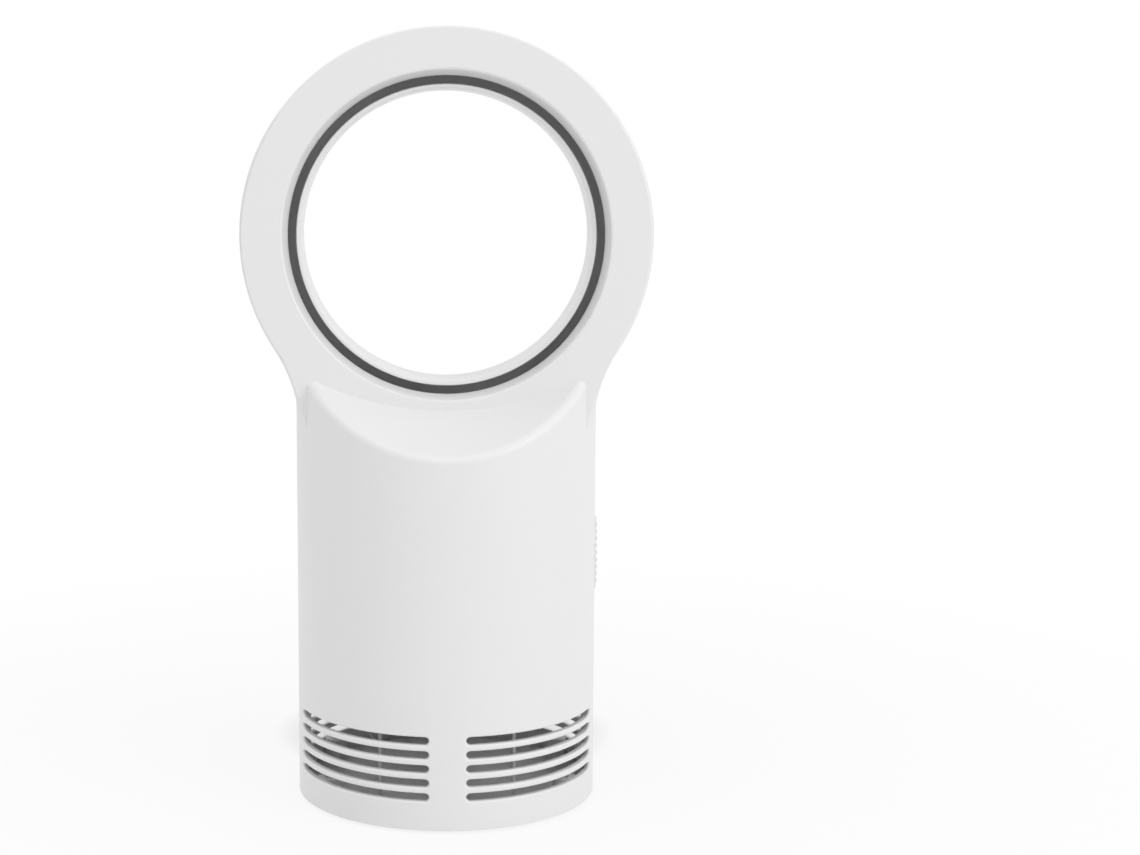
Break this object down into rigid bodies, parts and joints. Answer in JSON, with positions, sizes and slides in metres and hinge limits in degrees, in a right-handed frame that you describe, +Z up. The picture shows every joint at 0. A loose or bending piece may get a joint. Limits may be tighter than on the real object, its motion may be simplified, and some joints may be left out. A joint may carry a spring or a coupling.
{
  "type": "bladeless fan heater",
  "caption": "White desk fan heater: a hollow air ring with an outlet slit stands on a cylinder with intake slots, holding fan, motor, heating block and switches.",
  "frame": {"origin": "on the floor, under the middle of the foot", "axes": "+Z up, -Y out of the front of the ring, +X to the right seen from the front"},
  "size_m": [0.157, 0.118, 0.3],
  "materials": {
    "white_abs": "satin, very fine moulded texture",
    "black_pbt": "moulded",
    "grey_nylon": "moulded, glass filled",
    "foot_rubber": "matt",
    "screw_steel": "zinc plated",
    "can_steel": "zinc plated",
    "bronze": "sintered",
    "ferrite": "ground",
    "copper_wire": "enamelled",
    "shaft_steel": "ground",
    "board_laminate": "solder mask",
    "ptc_ceramic": "fired",
    "fin_aluminium": "rolled",
    "tinned_brass": "tinned",
    "thermostat_ceramic": "fired",
    "plunger_acetal": "moulded",
    "spring_steel": "drawn",
    "gland_pvc": "satin",
    "wire_silicone": "satin"
  },
  "bodies": {
    "housing": {"front_housing": "white_abs", "rear_housing": "white_abs", "nozzle_liner": "white_abs", "base_plate": "white_abs", "rubber_feet": "foot_rubber", "base_screws": "screw_steel", "housing_screws": "screw_steel", "motor_screws": "screw_steel", "switch_screws": "screw_steel", "fan_duct": "grey_nylon", "motor_bracket": "grey_nylon", "motor_can": "can_steel", "motor_end_cap": "black_pbt", "motor_bearings": "bronze", "motor_magnets": "ferrite", "rectifier_board": "board_laminate", "rectifier_diodes": "black_pbt", "heater_frame": "black_pbt", "ptc_bars": "ptc_ceramic", "heater_fins": "fin_aluminium", "heater_terminals": "tinned_brass", "thermostat": "thermostat_ceramic", "thermal_fuse": "tinned_brass", "switch_body": "black_pbt", "tip_over_housing": "grey_nylon", "tip_over_spring": "spring_steel", "tip_over_microswitch": "black_pbt", "cord_gland": "gland_pvc", "terminal_block": "plunger_acetal", "wiring": "wire_silicone"},
    "rotor": {"impeller": "black_pbt", "motor_shaft": "shaft_steel", "motor_rotor": "can_steel", "motor_windings": "copper_wire"},
    "slider": {"switch_slider": "white_abs", "switch_carriage": "black_pbt"},
    "plunger": {"tip_over_plunger": "plunger_acetal"}
  },
  "joints": [
    {"name": "fan_spin", "type": "hinge", "parent": "housing", "child": "rotor", "pos_m": [0, 0, 0.06], "axis": [0, 0, 1], "continuous": true},
    {"name": "switch_slide", "type": "slide", "parent": "housing", "child": "slider", "axis": [0, 0, 1], "range_m": [-0.005, 0.005]},
    {"name": "tip_over_drop", "type": "slide", "parent": "housing", "child": "plunger", "axis": [0, 0, 1], "range_m": [-0.004, 0], "stiffness_N_per_m": 60, "springref_m": -0.006, "deforming": ["tip_over_spring"]}
  ]
}
